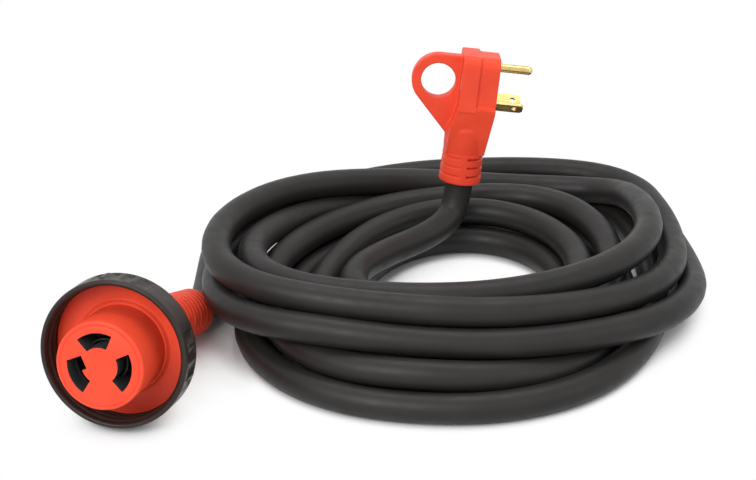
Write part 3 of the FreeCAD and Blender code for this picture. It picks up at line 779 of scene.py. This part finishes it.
def build_relief():
    outline = [(8.6, 0.3), (9.0, 0), (11.4, 0), (12.2, 0.15), (12.7, 0.5), (12.95, 1.1)]
    low, high = 1.5, 18.7
    for k in range(RELIEF_ROWS + 1):
        r = RELIEF_START_R + (RELIEF_TOP_R - RELIEF_START_R) * k / RELIEF_ROWS
        outline.append((r, low + (high - low) * k / RELIEF_ROWS))
    outline += [(12.45, RELIEF_LENGTH - 0.1), (12.35, RELIEF_LENGTH), (8.6, RELIEF_LENGTH)]

    def slots(r, angle, z):
        # Deep slots on the pins' side, shallow ones opposite, and plain webs between them
        if r < BORE_LIMIT:
            return r
        right = abs(near(angle, DEEP_CENTRE))
        left = abs(near(angle, SHALLOW_CENTRE))
        for start in RELIEF_SLOTS:
            inside = plateau(z, start - 0.1, start + 0.1, start + 1.4, start + 1.6)
            r -= DEEP_SLOT * inside * (1 - smooth_step(*DEEP_REACH, right))
            r -= SHALLOW_SLOT * inside * (1 - smooth_step(*SHALLOW_REACH, left))
        return r

    mesh = lathe([Vector(p) for p in outline], SEGMENTS, PLUG, slots)
    new_piece("relief_with_slots", mesh, ORANGE_RELIEF, "plug_relief")


def build_housing():
    # The moulding's soft edges and blends: a copy of the solid with a taller tongue over the stalk,
    # remeshed in small cells and relaxed
    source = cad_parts["plug_housing"].data.copy()
    source.materials.clear()
    outline = [(0, 42.0), (5.0, 41.6), (9.0, 40.2), (11.6, 37.6), (12.75, 34.0), (12.6, 25.0),
               (12.3, RELIEF_LENGTH), (12.2, RELIEF_LENGTH - 1.6), (0, RELIEF_LENGTH - 1.6)]
    tongue = turned(outline, TONGUE_SEGMENTS)
    for vert in tongue.vertices:
        vert.co.y -= TONGUE_LEAN * (vert.co.z - RELIEF_LENGTH)
    tongue.transform(PLUG)
    holder = bpy.data.objects.new("housing_work", joined_mesh([source, tongue]))
    bpy.context.scene.collection.objects.link(holder)
    remesh = holder.modifiers.new("cells", "REMESH")
    remesh.mode = "VOXEL"
    remesh.voxel_size = HOUSING_CELL * 1 * MM
    relax = holder.modifiers.new("relax", "SMOOTH")
    relax.factor = 0.5
    relax.iterations = RELAX_ROUNDS
    mesh = evaluated_mesh(holder)
    bpy.data.objects.remove(holder)
    mesh.materials.clear()
    mesh.shade_smooth()
    new_piece("plug_moulding", mesh, ORANGE, "plug_housing")


def dull_edges(node_name):
    # The edges that the dies leave on a pin
    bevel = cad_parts[node_name].modifiers.new("edges", "BEVEL")
    bevel.width = PIN_EDGE * MM
    bevel.segments = 2
    bevel.limit_method = "ANGLE"
    bevel.angle_limit = radians(40)
    bevel.use_clamp_overlap = True


build_shell()
build_block()
build_ring()
build_boot()
build_relief()
build_housing()
for pin in ("ground_pin", "blade_hot", "blade_neutral"):
    dull_edges(pin)


# CAD nodes that keep their own shape

NODE_MATERIALS = {
    "ground_pin": BRASS, "blade_hot": BRASS, "blade_neutral": BRASS, "pin_carrier": CARRIER,
    "contact_hot": CONTACT_PAINTED_SHADE, "contact_neutral": CONTACT_PAINTED_SHADE, "contact_ground": CONTACT_PAINTED_SHADE,
    "connector_cord_end": JACKET, "plug_cord_end": JACKET,
}
for end in ("connector", "plug"):
    for wire in WIRES:
        NODE_MATERIALS["%s_wire_%s" % (end, wire)] = WIRES[wire]
for node_name, material in NODE_MATERIALS.items():
    for material_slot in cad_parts[node_name].material_slots:
        material_slot.material = material


# Stage

FLOOR_HALF = 6.0
FLOOR_HEIGHT = -0.0002
SKY_LIGHT = 0.56
CAMERA_PLACE = (0.0417, -0.8611, 0.4994)
CAMERA_TILT = radians(63.0)
LENS = 81.14
SENSOR = 36.0


def seen_rays(tree):
    # 1 for the camera and for reflections, 0 for light that falls on the object
    light = tree.nodes.new("ShaderNodeLightPath")
    seen = tree.nodes.new("ShaderNodeMath")
    seen.operation = "MAXIMUM"
    tree.links.new(light.outputs["Is Camera Ray"], seen.inputs[0])
    tree.links.new(light.outputs["Is Glossy Ray"], seen.inputs[1])
    return seen.outputs[0]


def paper(tree):
    # How far the floor shows as plain white: less where the cord closes over it, so the ambient occlusion
    # paints shade on the floor in the gaps between strands
    sky = add_node(tree, "ShaderNodeAmbientOcclusion", Distance=0.05)
    sky.samples = 12
    open_floor = add_node(tree, "ShaderNodeMapRange", From_Min=0.25, From_Max=0.55)
    tree.links.new(sky.outputs["AO"], open_floor.inputs["Value"])
    share = tree.nodes.new("ShaderNodeMath")
    share.operation = "MULTIPLY"
    tree.links.new(seen_rays(tree), share.inputs[0])
    tree.links.new(open_floor.outputs["Result"], share.inputs[1])
    return share.outputs[0]


def build_floor():
    work = bmesh.new()
    bmesh.ops.create_grid(work, x_segments=1, y_segments=1, size=FLOOR_HALF)
    mesh = bpy.data.meshes.new("floor")
    work.to_mesh(mesh)
    work.free()
    floor_piece = bpy.data.objects.new("floor", mesh)
    floor_piece.location.z = FLOOR_HEIGHT
    bpy.context.scene.collection.objects.link(floor_piece)

    material = bpy.data.materials.new("floor_paper")
    material.use_nodes = True
    tree = material.node_tree
    tree.nodes.remove(tree.nodes["Principled BSDF"])
    output = tree.nodes["Material Output"]
    diffuse = add_node(tree, "ShaderNodeBsdfDiffuse", Color=(0.86, 0.86, 0.86, 1))
    glow = add_node(tree, "ShaderNodeEmission", Color=(1, 1, 1, 1), Strength=1.0)
    mix = tree.nodes.new("ShaderNodeMixShader")
    tree.links.new(paper(tree), mix.inputs[0])
    tree.links.new(diffuse.outputs[0], mix.inputs[1])
    tree.links.new(glow.outputs[0], mix.inputs[2])
    tree.links.new(mix.outputs[0], output.inputs["Surface"])
    mesh.materials.append(material)


def build_world():
    # White where it is seen, and weaker as light on the object
    world = bpy.data.worlds.new("studio")
    bpy.context.scene.world = world
    world.use_nodes = True
    tree = world.node_tree
    back = tree.nodes["Background"]
    back.inputs["Color"].default_value = (1, 1, 1, 1)
    strength = add_node(tree, "ShaderNodeMapRange", To_Min=SKY_LIGHT, To_Max=1.0)
    tree.links.new(seen_rays(tree), strength.inputs["Value"])
    tree.links.new(strength.outputs["Result"], back.inputs["Strength"])


def area_light(name, place, target, size, power):
    data = bpy.data.lights.new(name, "AREA")
    data.shape = "RECTANGLE"
    data.size, data.size_y = size
    data.energy = power
    lamp = bpy.data.objects.new(name, data)
    bpy.context.scene.collection.objects.link(lamp)
    lamp.location = place
    lamp.rotation_euler = (Vector(target) - Vector(place)).to_track_quat("-Z", "Y").to_euler()


def build_camera():
    data = bpy.data.cameras.new("camera")
    data.lens = LENS
    data.sensor_width = SENSOR
    camera = bpy.data.objects.new("camera", data)
    bpy.context.scene.collection.objects.link(camera)
    camera.location = CAMERA_PLACE
    camera.rotation_euler = (CAMERA_TILT, 0, 0)
    bpy.context.scene.camera = camera


build_floor()
build_world()
area_light("key", (-0.55, -1.1, 1.0), (0.0, 0.0, 0.05), (0.9, 0.8), 14.5)
area_light("top", (0.1, 0.35, 1.4), (0.05, 0.0, 0.0), (1.2, 0.6), 7)
area_light("fill", (1.1, -0.6, 0.7), (0.05, 0.0, 0.05), (0.8, 0.8), 2)
build_camera()
bpy.context.scene.view_settings.view_transform = "Standard"
